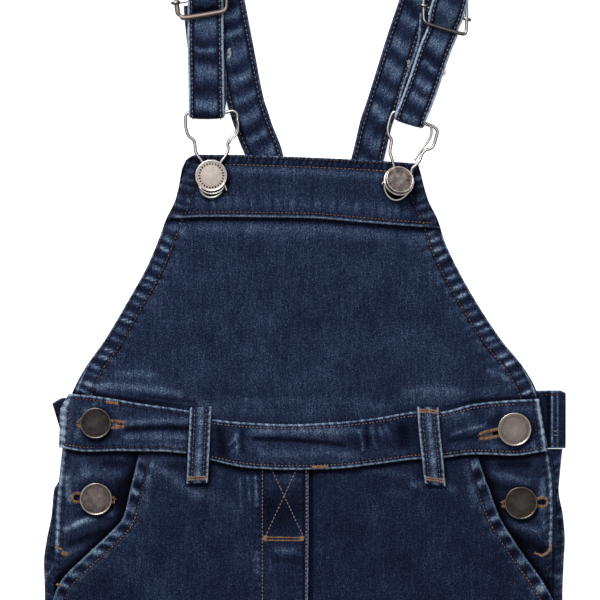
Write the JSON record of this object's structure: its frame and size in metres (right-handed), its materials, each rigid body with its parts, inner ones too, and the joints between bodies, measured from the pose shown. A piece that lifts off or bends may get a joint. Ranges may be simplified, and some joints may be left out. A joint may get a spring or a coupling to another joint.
{
  "type": "kids dungarees",
  "caption": "Small child's denim dungarees laid flat, front up: bib, shoulder straps with wire clips and adjusters, side-buttoned waist, slant pockets, straight legs.",
  "frame": {"origin": "centre of the garment's base, on the surface it lies on", "axes": "+X to the viewer's right across the garment, +Y up the garment from the hems to the straps, +Z out of its front"},
  "size_m": [0.288, 0.849, 0.0115],
  "materials": {
    "denim": "dark indigo denim twill, worn lighter on seams and creases",
    "thread": "rust orange topstitching thread",
    "wire": "nickel plated bent wire",
    "antique_button": "antique bronze grey, lighter rubbed rim",
    "bright_button": "warm silver, satin"
  },
  "bodies": {
    "root": {"front_bib": "denim", "bib_top_band": "denim", "front_waistband": "denim", "back_waistband": "denim", "back_bib": "denim", "front_leg_left": "denim", "front_leg_right": "denim", "back_leg_left": "denim", "back_leg_right": "denim", "side_panel_left": "denim", "side_panel_right": "denim", "side_extension_left": "denim", "side_extension_right": "denim", "strap_left": "denim", "strap_right": "denim", "belt_loop_left": "denim", "belt_loop_right": "denim", "clip_left": "wire", "clip_right": "wire", "slider_left": "wire", "slider_right": "wire", "slider_bar_left": "wire", "slider_bar_right": "wire", "waist_button_left": "antique_button", "waist_button_right": "antique_button", "hip_button_left": "antique_button", "hip_button_right": "antique_button", "bib_button_right": "antique_button", "bib_button_left": "bright_button"}
  },
  "joints": []
}
